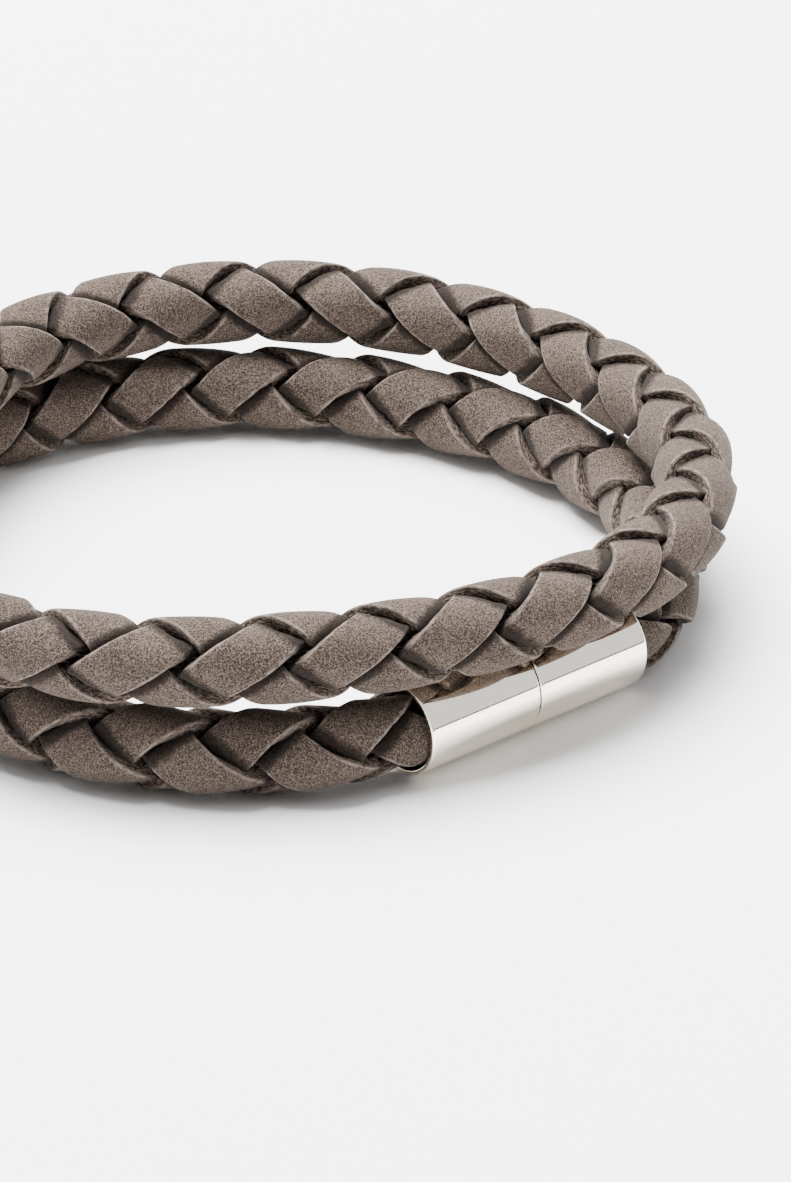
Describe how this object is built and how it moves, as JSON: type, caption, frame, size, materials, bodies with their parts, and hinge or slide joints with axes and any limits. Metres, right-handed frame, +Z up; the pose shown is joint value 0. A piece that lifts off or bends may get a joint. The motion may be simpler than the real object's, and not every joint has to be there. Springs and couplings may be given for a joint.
{
  "type": "braided suede wrap bracelet",
  "caption": "Wrap bracelet of round braided suede cord that lies in a low coil, closed by a polished steel cylinder clasp.",
  "frame": {"origin": "centre of the box round the bracelet, on the surface that it lies on", "axes": "+Z up out of the surface, through the loop; +X across the longest width; the clasp is on the lower turn towards -Y and +X"},
  "size_m": [0.07, 0.068, 0.0133],
  "materials": {
    "suede": "grey-brown suede with a fine mottled nap and paler cut edges",
    "polished_steel": "polished, with faint fine scratches",
    "magnet": "plain nickel plate"
  },
  "bodies": {
    "root": {"suede_strand_1": "suede", "suede_strand_2": "suede", "suede_strand_3": "suede", "suede_strand_4": "suede", "clasp_left": "polished_steel", "clasp_right": "polished_steel", "clasp_magnet": "magnet"}
  },
  "joints": []
}
